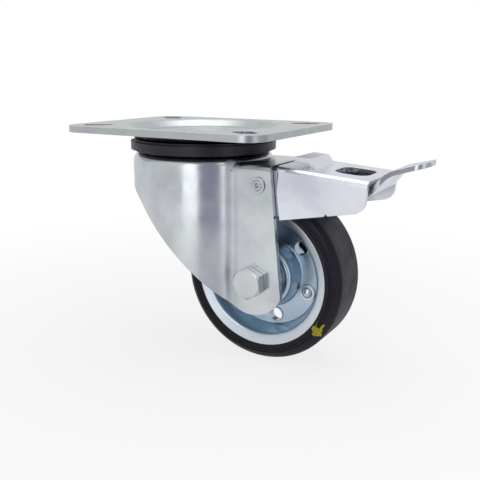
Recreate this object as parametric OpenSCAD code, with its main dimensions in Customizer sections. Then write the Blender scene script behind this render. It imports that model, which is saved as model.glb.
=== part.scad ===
// Braked swivel castor with a pressed-steel fork and a rubber-tyred wheel.
// The origin is the centre of the plate's top face, on the swivel axis. +Z is up and +X is the trail side,
// where the brake lever leaves the fork. The near side is -Y. All sizes are in millimetres.

/* [Plate] */
// Length of the plate along X
plate_l = 105; // [95:1:125]
// Width of the plate along Y
plate_w = 85; // [80:1:110]
// Thickness of the plate's sheet
plate_t = 3; // [2:0.25:4]
// Radius of the plate's corners
plate_corner_r = 10; // [4:0.5:14]
// Distance between slot centres along X
slot_pitch_x = 80; // [76:1:92]
// Distance between slot centres along Y
slot_pitch_y = 60; // [58:1:72]
// Width of a slot
slot_w = 9; // [6:0.5:11]
// Length of a slot from end to end
slot_l = 14; // [11.5:0.5:17]
// Radius of the dish's mouth
dish_r = 37; // [34:0.5:40]
// Depth of the dish below the plate's top
dish_depth = 3.4; // [2.5:0.1:6]
// Run of the dish's sloping wall
dish_wall_run = 5.5; // [4:0.5:7]
// Radius of the well that takes the king pin's head
well_r = 15.5; // [14:0.5:17]
// Depth of that well below the dish's floor
well_depth = 2.8; // [2:0.1:4]

/* [Swivel head] */
// Radius of the king pin
king_r = 6; // [4:0.5:7]
// Radius of the king pin's upper head
king_head_r = 10; // [8:0.5:11]
// Radius of the king pin's lower head
king_foot_r = 9.5; // [8:0.5:12]
// Height of the king pin's lower head
king_foot_h = 4; // [2:0.5:6]
// Radius of the upper balls
upper_ball_r = 3.25; // [3:0.25:4]
// Radius of the upper ball track
upper_track_r = 24.5; // [23:0.5:25]
// Number of upper balls
upper_ball_count = 18; // [12:1:18]
// Radius of the lower balls
lower_ball_r = 3; // [2:0.25:3.5]
// Radius of the lower ball track
lower_track_r = 15; // [14:0.5:16]
// Number of lower balls
lower_ball_count = 12; // [8:1:12]
// Depth that a ball sits in its track
track_depth = 0.4; // [0.2:0.05:0.6]
// Clearance between a ball and its track
ball_play = 0.08; // [0.02:0.01:0.1]
// Thickness of the lower race's sheet
race_t = 2.5; // [1.5:0.25:4]
// Outer radius of the lower race
race_r = 20; // [19:0.5:22]
// Height of the lower race's rim
race_rim_h = 2.5; // [1:0.25:3.5]
// Outer radius of the seal ring
seal_r = 35; // [34:0.5:37]
// Height of the seal ring's band
seal_h = 3.8; // [3:0.1:5]
// Wall of the seal ring
seal_t = 1.8; // [1.2:0.1:2.5]
// Drop of the band's top below the dish's underside
seal_drop = 0.9; // [0.3:0.1:1.2]

/* [Fork] */
// Thickness of the fork's sheet
fork_t = 2.5; // [2:0.25:3.5]
// Outer radius of the fork's crown
crown_r = 34; // [33:0.5:37]
// Radius of the crown's shoulder
crown_shoulder_r = 5; // [4:0.5:7]
// Inside width between the legs
fork_gap = 35; // [33:0.5:38]
// Radius of the fillet between crown and leg
leg_fillet_r = 4; // [2:0.5:6]
// Drop of the rear deck below the crown's top
deck_drop = 2.7; // [1.6:0.1:4]
// Outer bend radius between deck and leg
deck_bend_r = 3.5; // [3:0.25:5]
// Height of the front skirt below the crown's top
skirt_h = 16.5; // [12:0.5:20]
// Radius of the blend between the skirt and the slanted edge
skirt_blend_r = 25; // [10:1:30]
// Slope of the leg's front edge below the horizontal
leg_slope = 46.7; // [42:0.1:52]
// Radius of the leg's round end about the axle
leg_end_r = 16; // [14:0.5:20]
// Distance from the axle to the leg's rear edge
leg_rear = 14; // [12:0.25:15]
// Lean of the leg's rear edge from the vertical
leg_lean = 5.9; // [3:0.1:8]
// Radius of the corner between the leg's end and its rear edge
leg_corner_r = 4; // [2:0.5:6]

/* [Axle] */
// Distance from the swivel axis to the axle
trail = 38; // [36:0.5:42]
// Height from the floor to the plate's top
total_h = 108; // [106:0.5:116]
// Radius of the axle bolt
bolt_r = 4; // [3:0.5:5]
// Hexagon size across flats of bolt and nut
hex_af = 13; // [10:0.5:17]
// Height of the bolt's head
bolt_head_h = 5.3; // [4:0.1:7]
// Height of the lock nut's hexagon
nut_h = 6.5; // [5:0.1:8]
// Height of the lock nut's collar
nut_collar_h = 1.6; // [1:0.1:3]
// Length of bolt past the nut
bolt_tail = 1.5; // [0.5:0.1:5]
// Height of the groove round the bolt's head above the leg
head_groove_at = 2.6; // [1.5:0.1:3.5]
// Width of that groove
head_groove_w = 0.35; // [0.2:0.05:0.8]
// Depth of that groove
head_groove_depth = 0.5; // [0.2:0.05:0.8]
// Turn of the bolt's head from a corner at the top
bolt_turn = 4; // [0:1:59]
// Clearance of a bolt in its hole
bolt_play = 0.1; // [0.05:0.05:0.3]
// Outer radius of the axle sleeve
sleeve_r = 6; // [5.5:0.25:6.5]
// Thickness of the thrust washers
washer_t = 2.8; // [1:0.1:3.4]
// Outer radius of the thrust washers
washer_r = 10.5; // [8:0.5:12]

/* [Wheel] */
// Radius of the wheel over the tyre
wheel_r = 40; // [39:0.5:42]
// Width of the tyre
tyre_w = 25; // [24:0.5:27]
// Radius of the tyre's shoulders
tyre_shoulder_r = 3.4; // [2:0.1:4.5]
// Radius of the ridges on the tyre's side walls
ridge_r = 0.45; // [0.2:0.05:0.7]
// Distance from the rim's lip to the first ridge
ridge_start = 1.5; // [1:0.1:2]
// Distance between ridges
ridge_pitch = 1.2; // [1:0.1:1.3]
// Thickness of the rim's sheet
rim_t = 1.5; // [1:0.1:2]
// Radius of the rim's lip
lip_r = 33; // [32:0.25:34]
// Width of the rim's lip
lip_w = 4.2; // [3:0.1:4.5]
// Rise of the lip from its inner edge to its outer edge
lip_rise = 1.4; // [0.5:0.1:2]
// Outer radius of the rim's flat web
web_r = 26.2; // [25.8:0.1:26.6]
// Radius of the hub boss where it leaves the web
boss_foot_r = 15.8; // [15.2:0.1:16]
// Radius of the hub boss at its outer end
boss_r = 14.3; // [13.5:0.1:14.6]
// Height of the hub boss above the wheel's middle
boss_h = 11; // [8:0.25:12.5]
// Radius of the circle of rivets and holes in the web
web_circle_r = 21.1; // [20.9:0.05:21.3]
// Number of rivets, and of holes
web_count = 3; // [3:1:4]
// Angle of the first rivet above the +X direction
web_angle = -20; // [-60:1:60]
// Radius of a rivet's head
rivet_head_r = 3.8; // [3:0.05:3.9]
// Radius of the dome on a rivet's head
rivet_dome_r = 2.7; // [2:0.1:2.9]
// Height of a rivet's head over its dome
rivet_head_h = 2.4; // [1.8:0.1:3.2]
// Height of the flat ring round that dome
rivet_ring_h = 0.9; // [0.6:0.1:1.2]
// Radius of a rivet's shank
rivet_r = 2.4; // [1.5:0.1:2.8]
// Radius of a hole in the web
web_hole_r = 3.2; // [2:0.1:3.3]
// Outer radius of the hub tube
hub_r = 11.5; // [10.75:0.1:12]
// Length of the hub tube
hub_l = 28.6; // [27:0.2:29]
// Radius of the rollers
roller_r = 1.75; // [1.5:0.05:2]
// Length of the rollers
roller_l = 20; // [12:0.5:21]
// Number of rollers
roller_count = 9; // [6:1:9]
// Running clearance of rollers, on each side
roller_play = 0.05; // [0.02:0.01:0.1]

/* [Brake] */
// Distance from the swivel axis to the brake pin
brake_pin_x = 40.8; // [39:0.1:42]
// Drop of the brake pin below the fork's deck
brake_pin_drop = 8.8; // [8:0.1:9.5]
// Radius of the brake pin
brake_pin_r = 3; // [2:0.25:3]
// Radius of the brake pin's heads
brake_head_r = 3.6; // [3.25:0.05:5]
// Height of the brake pin's heads
brake_head_h = 0.9; // [0.5:0.1:2]
// Running clearance of the lever on the brake pin
brake_play = 0.05; // [0.02:0.01:0.1]
// Thickness of the channel's sheet
channel_t = 2; // [1.5:0.25:2.5]
// Gap between the fork's rear edge and the channel's top
channel_gap = 2.4; // [2.2:0.1:3]
// Length of the channel along its top
channel_l = 42; // [40:0.5:50]
// Height of the channel's sides at the fork
channel_front_h = 23.2; // [20:0.2:25]
// Height of the channel's sides at the free end
channel_rear_h = 12.8; // [10:0.2:15]
// Slope of the channel's top
channel_tilt = 4.5; // [0:0.5:6]
// Outer bend radius of the channel
channel_bend_r = 2.75; // [2.75:0.25:4]
// Radius of the channel's lower rear corners
channel_corner_r = 6; // [2:0.5:7]
// Depth of the side's crease below the channel's top, at the fork
crease_front_h = 13.8; // [12:0.1:16]
// Fall of the crease below the line of the channel's top
crease_fall = 6.1; // [4:0.1:8]
// Angle that the facet below the crease leans in
facet_lean = 5; // [2:0.5:7]
// Distance of the notch in the lower edge from the channel's front
notch_u = 25.5; // [20:0.5:30]
// Radius of that notch
notch_r = 0.9; // [0.5:0.1:1.5]
// Side clearance of the channel's ears between the legs
ear_play = 0.4; // [0.3:0.05:0.8]
// Clearance between the ears' round tops and the fork's deck
ear_top_play = 0.7; // [0.6:0.05:1]
// Width of the toe tab
tab_w = 21; // [14:0.5:24]
// Place of the toe tab's root along the channel
tab_root = 14.6; // [14:0.1:16]
// Run of the toe tab's ramp
tab_ramp = 3.1; // [2:0.1:4]
// Length of the toe tab's shelf
tab_shelf = 6.8; // [5:0.1:8]
// Height of the shelf above the channel's top
tab_h = 3.9; // [3.5:0.1:6]
// Start of the opening in the channel's top
window_start = 21.7; // [20:0.1:24]
// Length of the opening
window_l = 15.5; // [10:0.5:18]
// Width of the opening
window_w = 19; // [10:0.5:22]
// Radius of the opening's corners
window_corner_r = 6; // [2:0.5:6]
// Thickness of the pedal leaf
leaf_t = 2; // [1.5:0.25:2.25]
// Width of the leaf inside the channel
leaf_w = 29; // [20:0.5:31]
// Depth of the brake shoe below the channel's top
shoe_depth = 16; // [14:0.1:16.2]
// Reach of the pedal past the channel's end
pedal_reach = 20; // [15:0.5:30]
// Rise of the pedal's tip above the channel's top
pedal_rise = 8.4; // [6:0.1:14]
// Width of the pedal's tip
pedal_tip_w = 16; // [12:0.5:24]

/* [Hidden] */
$fn = 96;

zinc = "#C9CED3";
rim_zinc = "#B4C3D2";
steel = "#A9AEB4";
rubber = "#1D1D20";
black_plastic = "#2A2A2E";
nylon = "#E8E6DC";

// Longest cut through the whole castor
reach = plate_l + plate_w + total_h;
// Clear overlap that lets a cut pass through a face
cut = 1;
// Depth that a round bites into the faces it joins, so that they cross instead of touching
bite = 0.05;
// Steps in a quarter turn of a sheet's bend
bend_steps = 6;
// Inner radius of the plate's bends
bend_r = 2;

// Heights of the swivel head, from the plate down
dish_floor_z = -dish_depth;
dish_under_z = dish_floor_z - plate_t;
well_floor_z = dish_floor_z - well_depth;
upper_ball_z = dish_under_z - upper_ball_r + track_depth;
crown_z = upper_ball_z - upper_ball_r + track_depth;
crown_under_z = crown_z - fork_t;
lower_ball_z = crown_under_z - lower_ball_r + track_depth;
race_z = lower_ball_z - lower_ball_r + track_depth;
race_under_z = race_z - race_t;
deck_z = crown_z - deck_drop;
skirt_z = crown_z - skirt_h;

// Axle, legs and the leg's rear edge
axle_z = wheel_r - total_h;
axle = [trail, axle_z];
leg_y = fork_gap / 2 + fork_t;
rear_out = [cos(leg_lean), sin(leg_lean)];
rear_down = [sin(leg_lean), -cos(leg_lean)];
rear_foot = axle + leg_rear * rear_out;
deck_end_x = rear_foot[0] - (deck_z - rear_foot[1]) * tan(leg_lean);
slope_dir = [cos(leg_slope), -sin(leg_slope)];
slope_foot = axle - (leg_end_r - bite) * [sin(leg_slope), cos(leg_slope)];

// Share of a hexagon's flats that its round face takes up, and the slope of its chamfer
hex_face = 0.97;
hex_chamfer = 30;

// Wheel
web_half_turn = 180 / web_count;
lip_proud = 0.15;
lip_z = tyre_w / 2 + lip_proud - rim_t / 2;
wall_top_r = lip_r - lip_w;
rim_bend_r = 0.8;
roller_circle_r = sleeve_r + roller_play + roller_r;
hub_bore_r = roller_circle_r + roller_r + roller_play;
cage_t = 1.7;
cage_end = 2.2;

// Brake lever, in the frame of the channel's top
brake_pin_z = deck_z - brake_pin_drop;
channel_x = deck_end_x + channel_gap;
channel_in = leg_y - channel_t;
ear_r = brake_pin_drop - fork_t - ear_top_play;
ear_y = fork_gap / 2 - ear_play - channel_t / 2;
jog_lead = 0.1;
jog_run = 1.8;
jog_lap = 3;
jog_start = channel_gap - jog_lead;
jog_end = jog_start + jog_run;
channel_front_low = [channel_front_h * tan(leg_lean + channel_tilt), -channel_front_h];
channel_end_low = [channel_l, -channel_rear_h];
channel_low_dir = unit(channel_front_low - channel_end_low);
leaf_start_u = 1;
leaf_flat_u = 4;
leaf_shoulder_u = 4.5;
shoe_u = 12.9;
shoe_half_l = 3;
leaf_taper_l = 4;
leaf_neck = [channel_l - 0.9, -channel_t - 4.2];
pedal_heel = [channel_l + 5.4, 3];
pedal_root_u = channel_l + 3;
leaf_path = [
    [leaf_start_u, -channel_t - leaf_t / 2],
    [leaf_flat_u, -channel_t - leaf_t / 2],
    [shoe_u, -shoe_depth],
    leaf_neck,
    pedal_heel,
    [channel_l + pedal_reach, pedal_rise]
];
leaf_bends = [2.5, 4, 6, 8];

// Paths of bent sheet

function unit(v) = v / norm(v);
function left_of(v) = [-v[1], v[0]];
function turn_angle(a, b) = atan2(a[0] * b[1] - a[1] * b[0], a * b);
function step_count(angle) = max(2, ceil(abs(angle) / 90 * bend_steps));
function arc_points(c, r, from, sweep) = let (n = step_count(sweep))
    [for (i = [0:n]) c + r * [cos(from + sweep * i / n), sin(from + sweep * i / n)]];

// Points of one bend at p, between directions a and b, on the side at the given offset
function bend_points(p, a, b, r, offset) =
    let (phi = turn_angle(a, b))
    let (s = sign(phi))
    let (start = p - a * r * tan(abs(phi) / 2))
    let (c = start + s * r * left_of(a))
    let (spoke = -s * left_of(a))
    arc_points(c, r - s * offset, atan2(spoke[1], spoke[0]), phi);

// One face of a bent sheet, at the given offset to the left of its middle line
function sheet_face(path, bends, offset) =
    let (n = len(path))
    let (dirs = [for (i = [0:n - 2]) unit(path[i + 1] - path[i])])
    concat(
        [path[0] + offset * left_of(dirs[0])],
        [for (i = [1:n - 2]) each bend_points(path[i], dirs[i - 1], dirs[i], bends[i - 1], offset)],
        [path[n - 1] + offset * left_of(dirs[n - 2])]
    );

function reversed(list) = [for (i = [len(list) - 1:-1:0]) list[i]];

module bent_sheet(path, bends, t) {
    polygon(concat(sheet_face(path, bends, t / 2), reversed(sheet_face(path, bends, -t / 2))));
}

// Shared shapes

module rounded_rectangle(l, w, r) {
    square([l - 2 * r, w], center = true);
    square([l, w - 2 * r], center = true);
    for (x = [-1, 1], y = [-1, 1])
        translate([x * (l / 2 - r), y * (w / 2 - r)])
            circle(r);
}

module slot_outline(l, w) {
    square([l - w, w], center = true);
    for (side = [-1, 1])
        translate([side * (l - w) / 2, 0])
            circle(d = w);
}

// Extrudes an outline drawn in X and Z along Y, centred on the castor's middle plane
module across(w) {
    rotate([90, 0, 0])
        linear_extrude(w, center = true)
            children();
}

// Puts the wheel's axis on Z and its near side up
module on_axle() {
    translate([trail, 0, axle_z])
        rotate([90, 0, 0])
            children();
}

// Frame of the channel's top face: u along the lever, v across, w up
module on_channel() {
    translate([channel_x, 0, deck_z])
        rotate([0, channel_tilt, 0])
            children();
}

// Frame of the leg's rear edge at the deck, with Z along that edge
module on_rear_edge() {
    translate([deck_end_x, 0, deck_z])
        rotate([0, -leg_lean, 0])
            children();
}

module tube(r_out, r_in, h) {
    difference() {
        cylinder(r = r_out, h = h);
        translate([0, 0, -cut])
            cylinder(r = r_in, h = h + 2 * cut);
    }
}

module track_cut(track_r, ball_r, z) {
    translate([0, 0, z])
        rotate_extrude()
            translate([track_r, 0])
                circle(ball_r + ball_play);
}

module ball_ring(count, track_r, ball_r, z) {
    for (i = [0:count - 1])
        rotate(i * 360 / count)
            translate([track_r, 0, z])
                sphere(ball_r);
}

// Hexagon with its outer end chamfered to a circle
module chamfered_hexagon(af, h) {
    corner_r = af / 2 / cos(30);
    face_r = af / 2 * hex_face;
    intersection() {
        cylinder(r = corner_r, h = h, $fn = 6);
        rotate_extrude()
            polygon([
                [0, -cut],
                [corner_r + cut, -cut],
                [corner_r + cut, h - (corner_r + cut - face_r) * tan(hex_chamfer)],
                [face_r, h],
                [0, h]
            ]);
    }
}

// Plate and swivel head

module top_plate() {
    dish_path = [
        [dish_r + 2 * bend_r, -plate_t / 2],
        [dish_r, -plate_t / 2],
        [dish_r - dish_wall_run, dish_floor_z - plate_t / 2],
        [well_r, dish_floor_z - plate_t / 2],
        [well_r - well_depth, well_floor_z - plate_t / 2],
        [king_r, well_floor_z - plate_t / 2]
    ];
    plate_bends = [for (i = [0:3]) plate_t / 2 + bend_r];
    color(zinc)
        difference() {
            union() {
                translate([0, 0, -plate_t])
                    linear_extrude(plate_t)
                        difference() {
                            rounded_rectangle(plate_l, plate_w, plate_corner_r);
                            circle(dish_r + 2 * bend_r);
                        }
                rotate_extrude()
                    bent_sheet(dish_path, plate_bends, plate_t);
            }
            for (x = [-1, 1], y = [-1, 1])
                translate([x * slot_pitch_x / 2, y * slot_pitch_y / 2, -plate_t - cut])
                    rotate(x * y * atan(slot_pitch_y / slot_pitch_x))
                        linear_extrude(plate_t + 2 * cut)
                            slot_outline(slot_l, slot_w);
            track_cut(upper_track_r, upper_ball_r, upper_ball_z);
        }
}

module king_pin() {
    head_edge = 0.8;
    foot_z = race_under_z - king_foot_h;
    color(steel)
        rotate_extrude()
            polygon([
                [0, foot_z],
                [king_foot_r - king_foot_h / 2, foot_z],
                [king_foot_r, race_under_z - king_foot_h / 3],
                [king_foot_r, race_under_z],
                [king_r, race_under_z],
                [king_r, well_floor_z],
                [king_head_r, well_floor_z],
                [king_head_r, dish_floor_z - head_edge],
                [king_head_r - head_edge, dish_floor_z],
                [0, dish_floor_z]
            ]);
}

module lower_race() {
    color(zinc)
        difference() {
            union() {
                translate([0, 0, race_under_z])
                    tube(race_r, king_r, race_t);
                translate([0, 0, race_z])
                    tube(race_r, race_r - race_t / 2, race_rim_h);
            }
            track_cut(lower_track_r, lower_ball_r, lower_ball_z);
        }
}

module seal_ring() {
    band_top_z = dish_under_z - seal_drop;
    band_in_r = seal_r - seal_t;
    flange_play = 1;
    flange_in_r = upper_track_r + upper_ball_r + flange_play;
    lip_h = 0.8;
    color(black_plastic) {
        translate([0, 0, band_top_z - seal_h])
            tube(seal_r, band_in_r, seal_h);
        translate([0, 0, band_top_z - seal_drop])
            tube(band_in_r, flange_in_r, 2 * seal_drop);
        translate([0, 0, band_top_z - seal_h - lip_h])
            tube(band_in_r, band_in_r - seal_t, seal_h);
    }
}

module upper_balls() {
    color(steel)
        ball_ring(upper_ball_count, upper_track_r, upper_ball_r, upper_ball_z);
}

module lower_balls() {
    color(steel)
        ball_ring(lower_ball_count, lower_track_r, lower_ball_r, lower_ball_z);
}

// Fork

// Front of the fork's side outline in X and Z: skirt, blend and slanted edge, closed at the axle
module front_outline() {
    front_x = -crown_r - cut;
    blend_corner = [slope_foot[0] - (skirt_z - slope_foot[1]) / tan(leg_slope), skirt_z];
    blend_run = skirt_blend_r * tan(leg_slope / 2);
    blend_start = blend_corner - [blend_run, 0];
    blend_end = blend_corner + blend_run * slope_dir;
    blend_centre = blend_start - [0, skirt_blend_r];
    difference() {
        polygon([
            [front_x, skirt_z],
            blend_start,
            blend_centre,
            blend_end,
            slope_foot,
            axle,
            [trail, 0],
            [front_x, 0]
        ]);
        circle_at(blend_centre, skirt_blend_r + bite);
    }
}

// Outline for the legs, with their round end about the axle
module leg_outline() {
    front_outline();
    circle_at(axle, leg_end_r);
}

// Outline for the crown, which runs into the legs above their round end
module crown_outline() {
    join_x = sqrt(pow(crown_r, 2) - pow(leg_y, 2)) - leg_fillet_r / 10;
    join_z = axle_z + leg_end_r;
    difference() {
        front_outline();
        translate([join_x, join_z - reach])
            square(reach);
    }
}

// Rear of that outline: everything behind the rear edge and below its rounded corner
module behind_rear_edge() {
    corner_in = leg_rear - leg_corner_r;
    corner_run = sqrt(pow(leg_end_r - leg_corner_r, 2) - pow(corner_in, 2));
    corner_centre = axle + corner_in * rear_out + corner_run * rear_down;
    corner_spoke = unit(corner_centre - axle);
    difference() {
        polygon([
            rear_foot - reach * rear_down,
            rear_foot + corner_run * rear_down,
            corner_centre,
            corner_centre + reach * corner_spoke,
            rear_foot + reach * rear_out - reach * rear_down
        ]);
        circle_at(corner_centre, leg_corner_r + bite);
    }
}

module circle_at(p, r) {
    translate(p)
        circle(r);
}

// Round crown with its shoulder, inside the outer face or inside a face that lies deeper by the inset
module crown_form(inset) {
    body_r = crown_r - inset;
    shoulder_r = crown_shoulder_r - inset;
    top_z = crown_z - inset;
    rotate_extrude() {
        translate([0, -total_h])
            square([body_r, total_h + top_z - shoulder_r]);
        translate([0, -total_h])
            square([body_r - shoulder_r, total_h + top_z]);
        translate([body_r - shoulder_r, top_z - shoulder_r])
            intersection() {
                circle(shoulder_r);
                square(shoulder_r + cut);
            }
    }
}

// Legs and the deck between them
module leg_form(inset) {
    half_w = leg_y - inset;
    bend = deck_bend_r - inset;
    top_z = deck_z - inset;
    rotate([90, 0, 90])
        linear_extrude(reach) {
            translate([-half_w, -total_h])
                square([2 * half_w, total_h + top_z - bend]);
            translate([-half_w + bend, -total_h])
                square([2 * (half_w - bend), total_h + top_z]);
            for (side = [-1, 1])
                circle_at([side * (half_w - bend), top_z - bend], bend);
        }
}

// Hollow fillets between crown and legs, sloping off below the shoulder
module fillet_form(inset) {
    body_r = crown_r - inset;
    fillet_y = leg_y + leg_fillet_r;
    fillet_x = sqrt(pow(crown_r + leg_fillet_r, 2) - pow(fillet_y, 2));
    top_z = crown_z - crown_shoulder_r - leg_fillet_r / 5 - inset;
    intersection() {
        translate([0, 0, -total_h])
            linear_extrude(total_h)
                for (side = [-1, 1])
                    difference() {
                        polygon([
                            [0, 0],
                            [fillet_x, 0],
                            [fillet_x, side * fillet_y],
                            [fillet_x, side * fillet_y] * body_r / (crown_r + leg_fillet_r)
                        ]);
                        translate([fillet_x, side * fillet_y])
                            circle(leg_fillet_r + inset + bite);
                    }
        rotate_extrude()
            polygon([
                [0, -total_h],
                [crown_r + leg_fillet_r, -total_h],
                [crown_r + leg_fillet_r, top_z - leg_fillet_r],
                [crown_r - leg_fillet_r, top_z + leg_fillet_r],
                [0, top_z + leg_fillet_r]
            ]);
    }
}

module fork() {
    king_hole_play = 3;
    king_hole_r = king_r + king_hole_play;
    color(zinc)
        difference() {
            union() {
                intersection() {
                    crown_form(0);
                    across(reach)
                        crown_outline();
                }
                intersection() {
                    union() {
                        fillet_form(0);
                        leg_form(0);
                    }
                    across(reach) {
                        leg_outline();
                        translate([trail, axle_z])
                            square([leg_end_r, total_h]);
                    }
                }
            }
            crown_form(fork_t);
            fillet_form(fork_t);
            leg_form(fork_t);
            across(reach)
                behind_rear_edge();
            translate([0, 0, crown_under_z - cut])
                cylinder(r = king_hole_r, h = fork_t + 2 * cut);
            track_cut(upper_track_r, upper_ball_r, upper_ball_z);
            track_cut(lower_track_r, lower_ball_r, lower_ball_z);
            on_axle()
                cylinder(r = bolt_r + bolt_play, h = reach, center = true);
            translate([brake_pin_x, 0, brake_pin_z])
                rotate([90, 0, 0])
                    cylinder(r = brake_pin_r, h = reach, center = true);
        }
}

// Axle

module axle_bolt() {
    thread_end = leg_y + nut_h + nut_collar_h + bolt_tail;
    color(zinc)
        on_axle() {
            translate([0, 0, leg_y])
                rotate(30 + bolt_turn)
                    difference() {
                        chamfered_hexagon(hex_af, bolt_head_h);
                        translate([0, 0, head_groove_at])
                            head_groove();
                    }
            translate([0, 0, -thread_end])
                cylinder(r = bolt_r, h = thread_end + leg_y);
        }
}

module head_groove() {
    linear_extrude(head_groove_w)
        difference() {
            circle(hex_af);
            circle(r = (hex_af / 2 - head_groove_depth) / cos(30), $fn = 6);
        }
}

module axle_nut() {
    collar_share = 0.94;
    collar_r = hex_af / 2 * collar_share;
    color(zinc)
        on_axle()
            difference() {
                union() {
                    translate([0, 0, -leg_y])
                        rotate([180, 0, 0])
                            chamfered_hexagon(hex_af, nut_h);
                    translate([0, 0, -leg_y - nut_h - nut_collar_h])
                        cylinder(r = collar_r, h = nut_collar_h);
                }
                translate([0, 0, -reach])
                    cylinder(r = bolt_r, h = reach);
                translate([0, 0, -leg_y - nut_h - nut_collar_h - cut])
                    cylinder(r = insert_r(), h = insert_h() + cut);
            }
}

insert_lap = 0.6;
function insert_r() = (bolt_r + hex_af / 2) / 2;
function insert_h() = nut_collar_h + insert_lap;

module nut_insert() {
    color(nylon)
        on_axle()
            translate([0, 0, -leg_y - nut_h - nut_collar_h])
                tube(insert_r(), bolt_r, insert_h());
}

module axle_sleeve() {
    color(steel)
        on_axle()
            translate([0, 0, -fork_gap / 2])
                tube(sleeve_r, bolt_r + bolt_play, fork_gap);
}

// Washer between the hub and one leg: side is 1 for the near leg and -1 for the far one
module thrust_washer(side) {
    color(black_plastic)
        on_axle()
            translate([0, 0, side * (fork_gap - washer_t) / 2 - washer_t / 2])
                tube(washer_r, sleeve_r, washer_t);
}

module near_washer() {
    thrust_washer(1);
}

module far_washer() {
    thrust_washer(-1);
}

module brake_pin() {
    ring_share = 0.62;
    dimple_share = 0.3;
    ring_r = brake_head_r * ring_share;
    dimple_r = brake_head_r * dimple_share;
    color(steel)
        translate([brake_pin_x, 0, brake_pin_z])
            rotate([90, 0, 0])
                difference() {
                    union() {
                        cylinder(r = brake_pin_r, h = 2 * leg_y, center = true);
                        for (side = [-1, 1])
                            translate([0, 0, side * (leg_y + brake_head_h / 2)])
                                cylinder(r = brake_head_r, h = brake_head_h, center = true);
                    }
                    for (side = [-1, 1])
                        translate([0, 0, side * (leg_y + brake_head_h)]) {
                            rotate_extrude()
                                translate([ring_r, 0])
                                    circle(brake_head_h / 3);
                            sphere(dimple_r);
                        }
                }
}

// Wheel

// Middle line of one half rim, from the hub out to the lip
rim_path = [
    [hub_r, boss_h - rim_t / 2],
    [boss_r, boss_h - rim_t / 2],
    [boss_foot_r, rim_t / 2],
    [web_r, rim_t / 2],
    [wall_top_r, lip_z - lip_rise],
    [lip_r, lip_z]
];
rim_bends = [for (i = [0:3]) rim_t / 2 + rim_bend_r];

module half_rim() {
    hole_collar_w = 0.45;
    hole_collar_r = web_hole_r + hole_collar_w;
    hole_collar_h = 0.5;
    difference() {
        union() {
            rotate_extrude()
                bent_sheet(rim_path, rim_bends, rim_t);
            web_places(web_angle + web_half_turn)
                cylinder(r = hole_collar_r, h = rim_t + hole_collar_h);
        }
        web_places(web_angle + web_half_turn)
            translate([0, 0, -cut])
                cylinder(r = web_hole_r, h = rim_t + hole_collar_h + 2 * cut);
        web_places(web_angle)
            translate([0, 0, -cut])
                cylinder(r = rivet_r, h = rim_t + 2 * cut);
    }
}

module web_places(first) {
    for (i = [0:web_count - 1])
        rotate(first + i * 360 / web_count)
            translate([web_circle_r, 0, 0])
                children();
}

module near_rim() {
    color(rim_zinc)
        on_axle()
            half_rim();
}

module far_rim() {
    color(rim_zinc)
        on_axle()
            mirror([0, 0, 1])
                half_rim();
}

module rim_rivets() {
    dome_h = rivet_head_h - rivet_ring_h;
    dome_ball_r = (pow(rivet_dome_r, 2) + pow(dome_h, 2)) / (2 * dome_h);
    color(zinc)
        on_axle()
            web_places(web_angle)
                rotate_extrude() {
                    translate([0, -rim_t])
                        square([rivet_r, 2 * rim_t]);
                    for (side = [0, 1])
                        mirror([0, side])
                            translate([0, rim_t]) {
                                square([rivet_head_r, rivet_ring_h]);
                                intersection() {
                                    square([rivet_dome_r, rivet_head_h]);
                                    translate([0, rivet_head_h - dome_ball_r])
                                        circle(dome_ball_r);
                                }
                            }
                }
}

module tyre() {
    bead_depth = 2;
    ridge_count = 3;
    bead_r = web_r - bead_depth;
    half_w = tyre_w / 2;
    flat_w = tyre_w - 2 * tyre_shoulder_r;
    ridge_rs = [for (i = [0:ridge_count - 1]) lip_r + ridge_start + i * ridge_pitch];
    color(rubber)
        on_axle()
            rotate_extrude()
                difference() {
                    union() {
                        translate([bead_r, -half_w])
                            square([wheel_r - tyre_shoulder_r - bead_r, tyre_w]);
                        translate([bead_r, -flat_w / 2])
                            square([wheel_r - bead_r, flat_w]);
                        for (side = [-1, 1]) {
                            circle_at([wheel_r - tyre_shoulder_r, side * flat_w / 2], tyre_shoulder_r);
                            for (r = ridge_rs)
                                circle_at([r, side * half_w], ridge_r);
                        }
                    }
                    for (side = [0, 1])
                        mirror([0, side]) {
                            rim_side();
                        }
                }
}

// Half section of the rim's sheet and of all that lies on its hub side
module rim_side() {
    face = sheet_face(rim_path, rim_bends, -rim_t / 2);
    start = sheet_face(rim_path, rim_bends, rim_t / 2);
    polygon(concat([[0, -cut], [web_r - rim_t, -cut]], [for (p = face) if (p[0] > web_r - rim_t) p],
        [start[len(start) - 1], [lip_r, tyre_w], [0, tyre_w]]));
}

module hub_tube() {
    color(steel)
        on_axle()
            translate([0, 0, -hub_l / 2])
                tube(hub_r, hub_bore_r, hub_l);
}

module roller_cage() {
    pocket_play = 0.1;
    pocket_r = roller_r + pocket_play;
    cage_l = roller_l + 2 * cage_end;
    color(black_plastic)
        on_axle()
            difference() {
                translate([0, 0, -cage_l / 2])
                    tube(roller_circle_r + cage_t / 2, roller_circle_r - cage_t / 2, cage_l);
                roller_places()
                    cylinder(r = pocket_r, h = roller_l + 2 * roller_play, center = true);
            }
}

module roller_places() {
    for (i = [0:roller_count - 1])
        rotate(i * 360 / roller_count)
            translate([roller_circle_r, 0, 0])
                children();
}

module rollers() {
    color(steel)
        on_axle()
            roller_places()
                cylinder(r = roller_r, h = roller_l, center = true);
}

// Brake lever

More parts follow.
